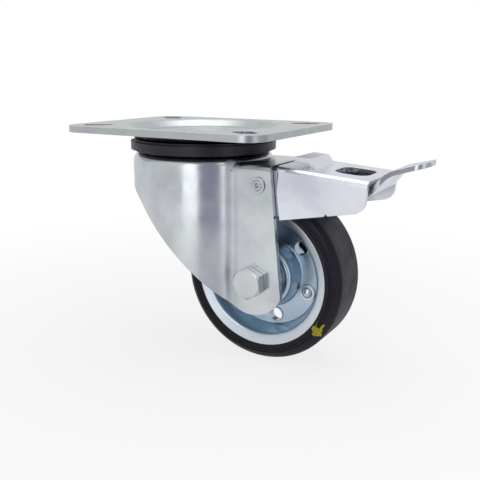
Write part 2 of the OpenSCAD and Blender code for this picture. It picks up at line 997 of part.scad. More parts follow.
// Side outline of the channel's wide part, in the frame of its top
module channel_outline() {
    low_out = left_of(channel_low_dir);
    corner_turn = 90 - atan2(-channel_low_dir[1], -channel_low_dir[0]);
    corner_centre = channel_end_low + channel_corner_r * [-1, tan(corner_turn / 2)];
    corner_reach = 2 * channel_corner_r;
    difference() {
        polygon([[0, 0], [channel_l, 0], channel_end_low, channel_front_low]);
        difference() {
            polygon([
                corner_centre,
                corner_centre + corner_reach * [1, 0],
                channel_end_low + corner_reach * [1, -1],
                corner_centre + corner_reach * low_out
            ]);
            circle_at(corner_centre, channel_corner_r + bite);
        }
        circle_at(channel_end_low + (channel_l - notch_u) / -channel_low_dir[0] * channel_low_dir, notch_r);
    }
}

// Wedge that leans the lower front of both sides in below their crease
module side_facets() {
    for (side = [0, 1])
        mirror([0, side, 0])
            translate([0, leg_y, -crease_front_h])
                rotate([0, crease_fall, 0])
                    rotate([-facet_lean, 0, 0])
                        translate([-reach / 2, 0, -reach])
                            cube([reach, reach, reach]);
}

// Cross-section of the wide part: v across, w up
module channel_section(inset) {
    half_w = leg_y - inset;
    bend = channel_bend_r - inset;
    translate([-half_w, -reach])
        square([2 * half_w, reach - inset - bend]);
    translate([-half_w + bend, -reach])
        square([2 * (half_w - bend), reach - inset]);
    for (side = [-1, 1])
        circle_at([side * (half_w - bend), -inset - bend], bend);
}

// Plan of the top's front end, with its corners cut back to where the sides begin
module channel_plan() {
    back_lap = 1;
    back = jog_end - channel_gap + back_lap;
    polygon([
        [0, -ear_y],
        [back, -leg_y - cut],
        [reach, -leg_y - cut],
        [reach, leg_y + cut],
        [back, leg_y + cut],
        [0, ear_y]
    ]);
}

// Side outline of one ear and its jog, in X and Z
module ear_outline() {
    pin = [brake_pin_x, brake_pin_z];
    heel_angle = 235;
    low_rise = 1;
    neck_run = 1;
    side_lap = 2;
    low_z = deck_z - channel_front_h + low_rise;
    low_x = deck_end_x + channel_front_h * tan(leg_lean);
    under_z = deck_z - channel_t / 2;
    heel = pin + ear_r * [cos(heel_angle), sin(heel_angle)];
    circle_at(pin, ear_r);
    polygon([
        pin,
        pin + [0, ear_r],
        [deck_end_x + jog_start / 2, pin[1] + ear_r],
        [deck_end_x + jog_start / 2 + neck_run, under_z],
        [low_x + jog_end + side_lap, under_z],
        [low_x + jog_end + side_lap, low_z],
        [low_x, low_z],
        heel
    ]);
}

// Ears between the legs and the jogs that lead out to the wide sides
module ears() {
    jog_path = [
        [-leg_end_r - ear_r, ear_y],
        [jog_start, ear_y],
        [jog_end, leg_y - channel_t / 2],
        [jog_end + jog_lap, leg_y - channel_t / 2]
    ];
    jog_bend_r = 0.3;
    jog_bends = [for (i = [0:1]) channel_t / 2 + jog_bend_r];
    intersection() {
        on_rear_edge()
            for (side = [0, 1])
                mirror([0, side, 0])
                    linear_extrude(reach, center = true)
                        bent_sheet(jog_path, jog_bends, channel_t);
        across(reach)
            ear_outline();
    }
}

module toe_tab() {
    mid = -channel_t / 2;
    tab_lap = 3;
    tab_bend_r = 0.5;
    tab_path = [
        [tab_root + tab_lap, mid],
        [tab_root, mid],
        [tab_root - tab_ramp, tab_h + mid],
        [tab_root - tab_ramp - tab_shelf, tab_h + mid]
    ];
    tab_bends = [for (i = [0:1]) channel_t / 2 + tab_bend_r];
    across(tab_w)
        bent_sheet(tab_path, tab_bends, channel_t);
}

module brake_channel() {
    color(zinc)
        difference() {
            union() {
                on_channel() {
                    difference() {
                        intersection() {
                            across(reach)
                                channel_outline();
                            translate([0, 0, -reach])
                                linear_extrude(2 * reach)
                                    channel_plan();
                            rotate([90, 0, 90])
                                linear_extrude(reach)
                                    difference() {
                                        channel_section(0);
                                        channel_section(channel_t);
                                    }
                        }
                        translate([window_start + window_l / 2, 0, -channel_t - cut])
                            linear_extrude(channel_t + 2 * cut)
                                rounded_rectangle(window_l, window_w, window_corner_r);
                    }
                    toe_tab();
                }
                ears();
            }
            on_channel()
                side_facets();
            translate([brake_pin_x, 0, brake_pin_z])
                rotate([90, 0, 0])
                    cylinder(r = brake_pin_r + brake_play, h = reach, center = true);
        }
}

// Plan of the pedal leaf: held between the channel's sides at the shoe, narrower outside
module leaf_plan() {
    tip_u = channel_l + pedal_reach;
    tip_r = pedal_tip_w / 3;
    polygon([
        [0, -ear_y + channel_t],
        [leaf_shoulder_u, -ear_y + channel_t],
        [leaf_shoulder_u, -channel_in],
        [shoe_u + shoe_half_l, -channel_in],
        [shoe_u + shoe_half_l + leaf_taper_l, -leaf_w / 2],
        [pedal_root_u, -leaf_w / 2],
        [tip_u - tip_r, -pedal_tip_w / 2],
        [tip_u - tip_r, pedal_tip_w / 2],
        [pedal_root_u, leaf_w / 2],
        [shoe_u + shoe_half_l + leaf_taper_l, leaf_w / 2],
        [shoe_u + shoe_half_l, channel_in],
        [leaf_shoulder_u, channel_in],
        [leaf_shoulder_u, ear_y - channel_t],
        [0, ear_y - channel_t]
    ]);
    translate([tip_u - 2 * tip_r, tip_r - pedal_tip_w / 2])
        square([2 * tip_r, pedal_tip_w - 2 * tip_r]);
    for (side = [-1, 1])
        circle_at([tip_u - tip_r, side * (pedal_tip_w / 2 - tip_r)], tip_r);
}

module pedal_leaf() {
    color(zinc)
        on_channel()
            intersection() {
                across(2 * channel_in)
                    bent_sheet(leaf_path, leaf_bends, leaf_t);
                translate([0, 0, -reach])
                    linear_extrude(2 * reach)
                        leaf_plan();
            }
}

top_plate();
king_pin();
lower_race();
seal_ring();
upper_balls();
lower_balls();
fork();
axle_bolt();
axle_nut();
nut_insert();
axle_sleeve();
near_washer();
far_washer();
brake_pin();
tyre();
near_rim();
far_rim();
rim_rivets();
hub_tube();
roller_cage();
rollers();
brake_channel();
pedal_leaf();
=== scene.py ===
import math

import bmesh
import bpy
from mathutils import Matrix, Vector


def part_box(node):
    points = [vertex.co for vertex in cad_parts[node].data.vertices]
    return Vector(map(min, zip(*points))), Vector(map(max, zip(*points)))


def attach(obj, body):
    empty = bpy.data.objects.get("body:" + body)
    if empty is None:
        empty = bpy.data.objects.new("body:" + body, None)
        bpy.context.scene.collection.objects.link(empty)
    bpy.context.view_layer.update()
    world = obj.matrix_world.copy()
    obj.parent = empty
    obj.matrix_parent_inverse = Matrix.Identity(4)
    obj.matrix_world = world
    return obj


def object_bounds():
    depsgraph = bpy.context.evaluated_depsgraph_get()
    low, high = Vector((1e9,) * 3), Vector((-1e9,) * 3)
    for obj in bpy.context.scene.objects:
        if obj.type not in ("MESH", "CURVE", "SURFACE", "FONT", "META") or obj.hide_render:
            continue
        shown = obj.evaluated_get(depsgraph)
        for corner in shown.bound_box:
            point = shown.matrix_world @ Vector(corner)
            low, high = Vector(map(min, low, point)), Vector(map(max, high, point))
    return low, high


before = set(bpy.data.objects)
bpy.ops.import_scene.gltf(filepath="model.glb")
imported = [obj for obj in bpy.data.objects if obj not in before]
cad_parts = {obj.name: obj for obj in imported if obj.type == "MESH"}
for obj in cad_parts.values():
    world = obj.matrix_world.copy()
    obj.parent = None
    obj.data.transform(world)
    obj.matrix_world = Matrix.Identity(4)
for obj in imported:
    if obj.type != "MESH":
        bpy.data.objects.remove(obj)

CAD_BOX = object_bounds()

bl_info = {
    "name": "Braked Castor Finish",
    "version": (1, 0, 0),
    "blender": (4, 5, 0),
    "location": "3D View > Sidebar > Castor",
    "description": "Finishes, bolt thread, paint mark, stage and camera for a braked swivel castor",
    "category": "Object",
}

MM = 0.001


def linear(hex_text):
    """Linear RGBA of an sRGB hex colour."""
    channels = [int(hex_text[i:i + 2], 16) / 255 for i in (1, 3, 5)]
    return tuple(c / 12.92 if c <= 0.04045 else ((c + 0.055) / 1.055) ** 2.4 for c in channels) + (1.0,)


def colour_property(name, description, hex_text):
    """A colour in the panel, from its sRGB hex value."""
    return bpy.props.FloatVectorProperty(
        name=name, description=description, default=linear(hex_text),
        subtype="COLOR", size=4, min=0.0, max=1.0)


def length_property(name, description, millimetres):
    """A length in the panel, from its millimetres."""
    return bpy.props.FloatProperty(
        name=name, description=description, default=millimetres * MM,
        subtype="DISTANCE", unit="LENGTH", min=0.0)


class CastorColours(bpy.types.PropertyGroup):
    """Colours of the castor's finishes."""

    plate_zinc: colour_property("Plate Zinc", "Zinc plating on the top plate", "#C0C5C3")
    fork_zinc: colour_property("Fork Zinc", "Zinc plating on fork and fasteners", "#D5D9DC")
    lever_zinc: colour_property("Lever Zinc", "Brighter zinc plating on the brake channel", "#E6E8EF")
    zinc_shade: colour_property("Zinc Shade", "Duller clouds in the zinc plating", "#B0B5B7")
    zinc_tint: colour_property("Zinc Tint", "Violet tint of the passivated zinc", "#BCB8D0")
    zinc_worn: colour_property("Worn Zinc", "Rubbed edges of the plating", "#EAECEE")
    # Painted shade: a dark zinc that darkens corners and crevices, where shade falls
    zinc_painted_shade: colour_property("Painted Shade Zinc", "Painted shade in corners and crevices", "#5F636B")
    rim_zinc: colour_property("Rim Zinc", "Blue passivated zinc on the rims", "#C0D2DE")
    rim_shade: colour_property("Rim Zinc Shade", "Deeper clouds in the blue zinc", "#A2B8CC")
    steel: colour_property("Ground Steel", "Balls, rollers and sleeve", "#9EA2A6")
    rubber: colour_property("Tyre Rubber", "Black rubber of the tyre", "#0D0C12")
    rubber_dust: colour_property("Rubber Bloom", "Greyer bloom on the rubber", "#19181F")
    black_sheen: colour_property("Black Sheen", "Violet cast of light on black rubber and plastic", "#EEECFF")
    plastic: colour_property("Seal Plastic", "Black plastic of seal ring and washers", "#151419")
    nylon: colour_property("Nylon", "Insert of the lock nut", "#E2E0D4")
    paint: colour_property("Paint", "Yellow paint mark on the tyre", "#C9BE1E")
    paint_thin: colour_property("Thin Paint", "Thinner places of the paint mark", "#A89C17")
    floor: colour_property("Floor", "Studio floor", "#F4F4F4")
    dim_corner: colour_property("Dim Corner", "Unlit corner of the studio, in a mirror", "#9C9AAE")
    dim_floor: colour_property("Dim Floor", "Floor towards that corner, in a mirror", "#D8D8DD")
    dim_side: colour_property("Dim Side", "Unlit right side of the studio, in a mirror", "#C2C2CC")
    far_room: colour_property("Far Room", "Studio away from the lamps, in a mirror", "#E7E8EA")


class CastorSizes(bpy.types.PropertyGroup):
    """Sizes of the pieces that the scene adds."""

    thread_pitch: length_property("Thread Pitch", "Pitch of the axle bolt's thread", 1.0)
    thread_depth: length_property("Thread Depth", "Height of that thread", 0.25)
    thread_tail: length_property("Thread Tail", "Length of thread past the lock nut", 1.5)
    paint_film: length_property("Paint Film", "Thickness of the paint mark", 0.12)
    paint_grid: length_property("Paint Grid", "Spacing of the mesh that the mark is cut from", 0.16)
    edge_round: length_property("Edge Round", "Rounding that the light finds on sheet edges", 0.35)
    floor_size: length_property("Floor Size", "Side of the studio floor", 6000.0)


def add_node(tree, kind, sockets=None, **settings):
    """Adds a node, sets its values and links its sockets, by name or by number."""
    node = tree.nodes.new(kind)
    for name, value in settings.items():
        setattr(node, name, value)
    for name, value in (sockets or {}).items():
        if isinstance(value, bpy.types.NodeSocket):
            tree.links.new(value, node.inputs[name])
        else:
            node.inputs[name].default_value = value
    return node


def per_metre(millimetres):
    """Texture scale that gives a pattern of this size on Object coordinates."""
    return 1.0 / (millimetres * MM)


def new_material(name):
    """An empty material with its tree and the Object coordinates socket."""
    material = bpy.data.materials.new(name)
    material.use_nodes = True
    tree = material.node_tree
    tree.nodes.clear()
    place = add_node(tree, "ShaderNodeTexCoord").outputs["Object"]
    return material, tree, place


def clouds(tree, place, size, low, high, detail=3.0):
    """Soft noise of the given size in millimetres, stretched between two limits."""
    noise = add_node(tree, "ShaderNodeTexNoise", {
        "Vector": place, "Scale": per_metre(size), "Detail": detail,
    })
    return add_node(tree, "ShaderNodeMapRange", {
        "Value": noise.outputs["Fac"], "From Min": 0.3, "From Max": 0.7, "To Min": low, "To Max": high,
    }).outputs["Result"]


# Sockets of a Mix node for colours, by number because its other kinds share their names
FACTOR, FIRST, SECOND, MIXED = 0, 6, 7, 2

# Cosines of the turn across an edge where rubbing starts and where it is full
RUB_START, RUB_FULL = 0.96, 0.8
# Shares of open air round a spot: under the first it takes painted shade, and at the second the painted shade
# is darkest
OPEN_START, OPEN_DARKEST = 0.75, 0.25
# Strongest share of the painted shade in corners
PAINTED_SHADE_SHARE = 0.85
# Plan position of the hollow between the fork's crown and its legs, and its dull middle and reach
FILLET_PLACE = (28.2 * MM, 20.6 * MM, 0.0)
FILLET_MIDDLE, FILLET_REACH = 1.8 * MM, 4.0 * MM
FILLET_ROUGHNESS = 0.55
# Radii between which the rim turns into its lip, and how far the lip loses its blue
LIP_START, LIP_FULL = 28.5 * MM, 30.5 * MM
LIP_SHARE = 0.8


def edges(tree, radius):
    """Normals softened along sharp edges, a factor for rubbed edges and one for painted shade in corners."""
    soft = add_node(tree, "ShaderNodeBevel", {"Radius": radius}, samples=4).outputs["Normal"]
    flat = add_node(tree, "ShaderNodeNewGeometry").outputs["Normal"]
    level = add_node(tree, "ShaderNodeVectorMath", {0: soft, 1: flat},
                     operation="DOT_PRODUCT").outputs["Value"]
    turned = add_node(tree, "ShaderNodeMapRange", {
        "Value": level, "From Min": RUB_START, "From Max": RUB_FULL,
    }).outputs["Result"]
    open_air = add_node(tree, "ShaderNodeAmbientOcclusion", {"Distance": 4 * radius}, samples=4).outputs["AO"]
    proud = add_node(tree, "ShaderNodeMapRange", {
        "Value": open_air, "From Min": OPEN_START, "From Max": 1.0,
    }).outputs["Result"]
    rubbed = add_node(tree, "ShaderNodeMath", {0: turned, 1: proud}, operation="MULTIPLY").outputs[0]
    # Painted shade: the less open air round a spot, as in corners and crevices, the more of the dark zinc it
    # gets
    corner = add_node(tree, "ShaderNodeMapRange", {
        "Value": open_air, "From Min": OPEN_START, "From Max": OPEN_DARKEST, "To Max": PAINTED_SHADE_SHARE,
    }).outputs["Result"]
    return soft, rubbed, corner


def zinc_finish(name, colours, main, shade, roughness, edge, bright=None, dull=None):
    """Bright zinc plating on cold-rolled sheet: a clear metal with faint clouds and a fine rolled grain."""
    material, tree, place = new_material(name)
    soft, rubbed, corner = edges(tree, edge)
    # Clouds of 14 mm where the passivation is thicker, and a violet tint that drifts over 26 mm
    layers = [
        (clouds(tree, place, 14.0, 0.0, 0.6), shade),
        (clouds(tree, place, 26.0, -0.5, 0.45), colours.zinc_tint),
    ]
    if bright:
        layers.append((bright(tree, place), colours.fork_zinc))
    # Edges rubbed bright in handling, broken up over 3 mm, and painted shade darkening corners and crevices
    wear = add_node(tree, "ShaderNodeMath", {0: rubbed, 1: clouds(tree, place, 3.0, 0.1, 0.9)},
                    operation="MULTIPLY").outputs[0]
    layers += [(wear, colours.zinc_worn), (corner, colours.zinc_painted_shade)]
    base = main
    for share, colour in layers:
        base = add_node(tree, "ShaderNodeMix", {FACTOR: share, FIRST: base, SECOND: colour},
                        data_type="RGBA").outputs[MIXED]
    # Rolled grain of 0.5 mm, drawn coarser than the real one so that it shows
    grain = add_node(tree, "ShaderNodeTexNoise", {"Vector": place, "Scale": per_metre(0.5), "Detail": 2.0})
    bump = add_node(tree, "ShaderNodeBump", {
        "Strength": 0.03, "Distance": 0.05 * MM, "Height": grain.outputs["Fac"], "Normal": soft,
    })
    gloss = clouds(tree, place, 9.0, roughness - 0.05, roughness + 0.06)
    if dull:
        gloss = add_node(tree, "ShaderNodeMapRange", {
            "Value": dull(tree, place), "To Min": gloss, "To Max": FILLET_ROUGHNESS,
        }).outputs["Result"]
    shader = add_node(tree, "ShaderNodeBsdfPrincipled", {
        "Base Color": base, "Metallic": 1.0, "Roughness": gloss, "Normal": bump.outputs["Normal"],
    })
    add_node(tree, "ShaderNodeOutputMaterial", {"Surface": shader.outputs["BSDF"]})
    return material


def rim_lip(tree, place):
    """1 on the rim's lip, where the blue of the passivation is washed out."""
    low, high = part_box("near_rim")
    from_axle = add_node(tree, "ShaderNodeVectorMath", {0: place, 1: (low + high) / 2}, operation="SUBTRACT")
    spoke = add_node(tree, "ShaderNodeVectorMath", {0: from_axle.outputs[0], 1: (1.0, 0.0, 1.0)},
                     operation="MULTIPLY")
    radius = add_node(tree, "ShaderNodeVectorMath", {0: spoke.outputs[0]}, operation="LENGTH")
    return add_node(tree, "ShaderNodeMapRange", {
        "Value": radius.outputs["Value"], "From Min": LIP_START, "From Max": LIP_FULL, "To Max": LIP_SHARE,
    }).outputs["Result"]


def drawn_fillet(tree, place):
    """1 along the hollow between crown and legs, which the drawing die leaves duller than the faces."""
    mirrored = add_node(tree, "ShaderNodeVectorMath", {0: place}, operation="ABSOLUTE").outputs[0]
    aside = add_node(tree, "ShaderNodeVectorMath", {0: mirrored, 1: FILLET_PLACE},
                     operation="SUBTRACT").outputs[0]
    flat = add_node(tree, "ShaderNodeVectorMath", {0: aside, 1: (1.0, 1.0, 0.0)},
                    operation="MULTIPLY").outputs[0]
    distance = add_node(tree, "ShaderNodeVectorMath", {0: flat}, operation="LENGTH").outputs["Value"]
    return add_node(tree, "ShaderNodeMapRange", {
        "Value": distance, "From Min": FILLET_REACH, "From Max": FILLET_MIDDLE,
    }, interpolation_type="SMOOTHSTEP").outputs["Result"]


def ground_steel(colours):
    """Hardened bearing steel, ground and oiled: darker and smoother than the plating."""
    material, tree, place = new_material("ground_bearing_steel")
    cloud = clouds(tree, place, 4.0, 0.0, 0.5)
    base = add_node(tree, "ShaderNodeMix", {FACTOR: cloud, FIRST: colours.steel, SECOND: colours.zinc_shade},
                    data_type="RGBA").outputs[MIXED]
    shader = add_node(tree, "ShaderNodeBsdfPrincipled", {
        "Base Color": base, "Metallic": 1.0, "Roughness": clouds(tree, place, 2.0, 0.12, 0.22),
    })
    add_node(tree, "ShaderNodeOutputMaterial", {"Surface": shader.outputs["BSDF"]})
    return material


def tyre_rubber(colours):
    """Moulded black rubber: a dull satin skin with a grey bloom and a fine pebble."""
    material, tree, place = new_material("moulded_tyre_rubber")
    cloud = clouds(tree, place, 9.0, 0.0, 0.9, 5.0)
    base = add_node(tree, "ShaderNodeMix", {
        FACTOR: cloud, FIRST: colours.rubber, SECOND: colours.rubber_dust,
    }, data_type="RGBA").outputs[MIXED]
    # Pebble of 0.4 mm from the mould
    pebble = add_node(tree, "ShaderNodeTexNoise", {"Vector": place, "Scale": per_metre(0.4), "Detail": 3.0})
    bump = add_node(tree, "ShaderNodeBump", {
        "Strength": 0.15, "Distance": 0.08 * MM, "Height": pebble.outputs["Fac"],
    })
    shader = add_node(tree, "ShaderNodeBsdfPrincipled", {
        "Base Color": base, "IOR": 1.52, "Specular IOR Level": 0.33, "Specular Tint": colours.black_sheen,
        "Roughness": clouds(tree, place, 6.0, 0.34, 0.5), "Normal": bump.outputs["Normal"],
    })
    add_node(tree, "ShaderNodeOutputMaterial", {"Surface": shader.outputs["BSDF"]})
    return material


def moulded_plastic(name, main, other, roughness, sheen):
    """Injection-moulded plastic with a faint spark-eroded grain."""
    material, tree, place = new_material(name)
    cloud = clouds(tree, place, 7.0, 0.0, 0.35)
    base = add_node(tree, "ShaderNodeMix", {FACTOR: cloud, FIRST: main, SECOND: other},
                    data_type="RGBA").outputs[MIXED]
    # Grain of 0.35 mm, drawn coarser than the real one so that it shows
    grain = add_node(tree, "ShaderNodeTexNoise", {"Vector": place, "Scale": per_metre(0.35), "Detail": 2.0})
    bump = add_node(tree, "ShaderNodeBump", {
        "Strength": 0.12, "Distance": 0.05 * MM, "Height": grain.outputs["Fac"],
    })
    shader = add_node(tree, "ShaderNodeBsdfPrincipled", {
        "Base Color": base, "IOR": 1.5, "Specular Tint": sheen,
        "Roughness": clouds(tree, place, 5.0, roughness - 0.06, roughness + 0.06),
        "Normal": bump.outputs["Normal"],
    })
    add_node(tree, "ShaderNodeOutputMaterial", {"Surface": shader.outputs["BSDF"]})
    return material


def brushed_paint(colours):
    """Marking paint put on with a brush: thick and bright in the middle, thin where it ran out."""
    material, tree, place = new_material("yellow_marking_paint")
    cloud = clouds(tree, place, 1.6, 0.0, 1.0)
    base = add_node(tree, "ShaderNodeMix", {FACTOR: cloud, FIRST: colours.paint, SECOND: colours.paint_thin},
                    data_type="RGBA").outputs[MIXED]
    # Brush marks of 0.5 mm
    marks = add_node(tree, "ShaderNodeTexNoise", {"Vector": place, "Scale": per_metre(0.5), "Detail": 2.0})
    bump = add_node(tree, "ShaderNodeBump", {
        "Strength": 0.3, "Distance": 0.06 * MM, "Height": marks.outputs["Fac"],
    })
    shader = add_node(tree, "ShaderNodeBsdfPrincipled", {
        "Base Color": base, "IOR": 1.48, "Roughness": 0.45, "Normal": bump.outputs["Normal"],
    })
    add_node(tree, "ShaderNodeOutputMaterial", {"Surface": shader.outputs["BSDF"]})
    return material


def coat(material, *names):
    """Gives CAD nodes one material in all their slots."""
    for name in names:
        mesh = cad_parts[name].data
        mesh.materials.clear()
        mesh.materials.append(material)


class CASTOR_OT_finish_plate(bpy.types.Operator):
    """Plates the top plate, the king pin and the lower race."""

    bl_idname = "castor.finish_plate"
    bl_label = "Finish Plate"

    def execute(self, context):
        colours, sizes = context.scene.castor_colours, context.scene.castor_sizes
        zinc = zinc_finish(
            "bright_zinc_plate", colours, colours.plate_zinc, colours.zinc_shade, 0.3, sizes.edge_round)
        coat(zinc, "top_plate", "king_pin", "lower_race")
        return {"FINISHED"}


class CASTOR_OT_finish_fork(bpy.types.Operator):
    """Plates the deep-drawn fork and the pin and bolt that go through it."""

    bl_idname = "castor.finish_fork"
    bl_label = "Finish Fork"

    def execute(self, context):
        colours, sizes = context.scene.castor_colours, context.scene.castor_sizes
        zinc = zinc_finish(
            "bright_zinc_fork", colours, colours.fork_zinc, colours.zinc_shade, 0.2, sizes.edge_round,
            dull=drawn_fillet)
        coat(zinc, "fork")
        zinc = zinc_finish(
            "bright_zinc_fastener", colours, colours.fork_zinc, colours.zinc_shade, 0.24, sizes.edge_round)
        coat(zinc, "axle_bolt", "axle_nut", "brake_pin")
        return {"FINISHED"}


class CASTOR_OT_finish_lever(bpy.types.Operator):
    """Plates the brake channel and its pedal leaf."""

    bl_idname = "castor.finish_lever"
    bl_label = "Finish Brake Lever"

    def execute(self, context):
        colours, sizes = context.scene.castor_colours, context.scene.castor_sizes
        zinc = zinc_finish(
            "bright_zinc_lever", colours, colours.lever_zinc, colours.fork_zinc, 0.24, sizes.edge_round)
        coat(zinc, "brake_channel")
        zinc = zinc_finish(
            "bright_zinc_leaf", colours, colours.fork_zinc, colours.zinc_shade, 0.22, sizes.edge_round)
        coat(zinc, "pedal_leaf")
        return {"FINISHED"}


class CASTOR_OT_finish_rims(bpy.types.Operator):
    """Gives the rims their glossy blue zinc, and plates rivets and hub."""

    bl_idname = "castor.finish_rims"
    bl_label = "Finish Rims"

    def execute(self, context):
        colours, sizes = context.scene.castor_colours, context.scene.castor_sizes
        blue = zinc_finish(
            "blue_zinc_rim", colours, colours.rim_zinc, colours.rim_shade, 0.3, sizes.edge_round,
            bright=rim_lip)
        coat(blue, "near_rim", "far_rim")
        zinc = zinc_finish(
            "bright_zinc_rivet", colours, colours.fork_zinc, colours.zinc_shade, 0.22, sizes.edge_round)
        coat(zinc, "rim_rivets", "hub_tube")
        return {"FINISHED"}


class CASTOR_OT_finish_tyre(bpy.types.Operator):
    """Gives the tyre its moulded rubber."""

    bl_idname = "castor.finish_tyre"
    bl_label = "Finish Tyre"

    def execute(self, context):
        coat(tyre_rubber(context.scene.castor_colours), "tyre")
        return {"FINISHED"}


class CASTOR_OT_finish_plastics(bpy.types.Operator):
    """Gives seal ring, washers, cage and nut insert their plastics."""

    bl_idname = "castor.finish_plastics"
    bl_label = "Finish Plastics"

    def execute(self, context):
        colours = context.scene.castor_colours
        black = moulded_plastic(
            "black_moulded_seal", colours.plastic, colours.rubber_dust, 0.4, colours.black_sheen)
        coat(black, "seal_ring", "near_washer", "far_washer", "roller_cage")
        coat(moulded_plastic("natural_nylon", colours.nylon, colours.floor, 0.45, WHITE), "nut_insert")
        return {"FINISHED"}


class CASTOR_OT_finish_bearings(bpy.types.Operator):
    """Gives balls, rollers and sleeve their ground steel."""

    bl_idname = "castor.finish_bearings"
    bl_label = "Finish Bearings"

    def execute(self, context):
        steel = ground_steel(context.scene.castor_colours)
        coat(steel, "upper_balls", "lower_balls", "rollers", "axle_sleeve")
        return {"FINISHED"}


BOLT_RADIUS = 4.0 * MM
THREAD_STEPS = 48
# Half the thread's foot as a share of its pitch, and the halves of foot that the tail keeps free
FOOT_SHARE, FREE_HALVES = 0.35, 2.2


class CASTOR_OT_add_bolt_thread(bpy.types.Operator):
    """Winds the thread round the bolt's tail, past the lock nut."""

    bl_idname = "castor.add_bolt_thread"
    bl_label = "Add Bolt Thread"

    def execute(self, context):
        sizes = context.scene.castor_sizes
        wheel_low, wheel_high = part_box("tyre")
        tail_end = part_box("axle_bolt")[1].y
        axle = Vector(((wheel_low.x + wheel_high.x) / 2, 0.0, (wheel_low.z + wheel_high.z) / 2))
        half = FOOT_SHARE * sizes.thread_pitch
        start = tail_end - sizes.thread_tail + half
        bm = bmesh.new()
        ring = [bm.verts.new(axle + Vector((r, start + along, 0.0))) for r, along in (
            (BOLT_RADIUS - sizes.thread_depth, -half),
            (BOLT_RADIUS + sizes.thread_depth, 0.0),
            (BOLT_RADIUS - sizes.thread_depth, half),
        )]
        profile = bm.faces.new(ring)
        turns = (sizes.thread_tail - FREE_HALVES * half) / sizes.thread_pitch
        steps = round(turns * THREAD_STEPS)
        bmesh.ops.spin(
            bm, geom=[profile], cent=axle, axis=(0.0, 1.0, 0.0), angle=2 * math.pi * turns, steps=steps,
            dvec=(0.0, sizes.thread_pitch / THREAD_STEPS, 0.0))
        bmesh.ops.remove_doubles(bm, verts=bm.verts, dist=1e-7)
        bmesh.ops.recalc_face_normals(bm, faces=bm.faces)
        mesh = bpy.data.meshes.new("bolt_thread")
        bm.to_mesh(mesh)
        bm.free()
        thread = bpy.data.objects.new("bolt_thread", mesh)
        context.scene.collection.objects.link(thread)
        mesh.materials.append(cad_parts["axle_bolt"].data.materials[0])
        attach(thread, "fork")
        return {"FINISHED"}


# The paint mark as strokes on the tyre's near wall: X and Z of both ends and both radii, in millimetres
PAINT_STROKES = (
    (67.8, -88.9, 67.9, -89.2, 2.2, 2.1),
    (66.4, -87.5, 67.2, -88.2, 1.2, 1.6),
    (69.3, -88.0, 68.6, -88.6, 1.2, 1.6),
    (66.3, -90.4, 67.2, -89.6, 0.9, 1.2),
    (69.1, -90.4, 68.4, -89.6, 0.9, 1.2),
    (67.0, -87.2, 68.0, -84.2, 0.5, 0.25),
    (69.2, -87.6, 71.0, -85.2, 0.8, 0.65),
    (66.2, -87.4, 64.9, -88.0, 0.5, 0.3),
)
# Middle of the square that the mark is cut from, and half its side
PAINT_MIDDLE = Vector((68.0 * MM, 0.0, -87.6 * MM))
PAINT_REACH = 4.4 * MM

# The tyre's near wall, in millimetres
TYRE_RADIUS, TYRE_HALF_WIDTH, TYRE_SHOULDER = 40.0, 12.5, 3.4
RIDGE_RADII, RIDGE_ROUND = (34.5, 35.7, 36.9), 0.45


def stroke_distance(x, z, stroke):
    """How far a point lies outside a tapered brush stroke; negative inside."""
    ax, az, bx, bz, ar, br = stroke
    along = Vector((bx - ax, bz - az))
    to_point = Vector((x - ax, z - az))
    t = min(1.0, max(0.0, to_point.dot(along) / along.length_squared))
    return (to_point - along * t).length - (ar + (br - ar) * t)


def near_wall_height(r):
    """Y of the tyre's near wall at a radius, in millimetres: flat wall, round shoulder and moulded ridges."""
    height = TYRE_HALF_WIDTH
    past = r - (TYRE_RADIUS - TYRE_SHOULDER)
    if past >= 0.0:
        height = TYRE_HALF_WIDTH - TYRE_SHOULDER + math.sqrt(max(0.0, TYRE_SHOULDER ** 2 - past ** 2))
    for ridge_at in RIDGE_RADII:
        inside = RIDGE_ROUND ** 2 - (r - ridge_at) ** 2
        if inside > 0:
            height = max(height, TYRE_HALF_WIDTH + math.sqrt(inside))
    return -height


class CASTOR_OT_add_paint_mark(bpy.types.Operator):
    """Brushes the yellow paint mark onto the tyre's near wall."""

    bl_idname = "castor.add_paint_mark"
    bl_label = "Add Paint Mark"

    def execute(self, context):
        sizes = context.scene.castor_sizes
        low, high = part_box("tyre")
        axle = Vector(((low.x + high.x) / 2, 0.0, (low.z + high.z) / 2))
        bm = bmesh.new()
        steps = round(2 * PAINT_REACH / sizes.paint_grid)
        bmesh.ops.create_grid(bm, x_segments=steps, y_segments=steps, size=PAINT_REACH)
        for vert in bm.verts:
            vert.co = Vector((PAINT_MIDDLE.x + vert.co.x, 0.0, PAINT_MIDDLE.z + vert.co.y))
        outside = [v for v in bm.verts
                   if min(stroke_distance(v.co.x / MM, v.co.z / MM, s) for s in PAINT_STROKES) > 0.0]
        bmesh.ops.delete(bm, geom=outside, context="VERTS")
        for _ in range(3):
            rim = [v for v in bm.verts if v.is_boundary]
            bmesh.ops.smooth_vert(bm, verts=rim, factor=0.5, use_axis_x=True, use_axis_z=True)
        sole = list(bm.faces)
        top = bmesh.ops.extrude_face_region(bm, geom=sole)["geom"]
        raised = {v for v in top if isinstance(v, bmesh.types.BMVert)}
        for vert in bm.verts:
            r = math.hypot(vert.co.x - axle.x, vert.co.z - axle.z) / MM
            at_rim = any(edge.other_vert(vert) not in raised for edge in vert.link_edges)
            lift = sizes.paint_film / 4 if at_rim else sizes.paint_film
            vert.co.y = near_wall_height(r) * MM + (-lift if vert in raised else sizes.paint_film / 2)
        bmesh.ops.recalc_face_normals(bm, faces=bm.faces)
        mesh = bpy.data.meshes.new("tyre_paint_mark")
        bm.to_mesh(mesh)
        bm.free()
        mark = bpy.data.objects.new("tyre_paint_mark", mesh)
        context.scene.collection.objects.link(mark)
        mesh.shade_smooth()
        mesh.materials.append(brushed_paint(context.scene.castor_colours))
        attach(mark, "wheel")
        return {"FINISHED"}


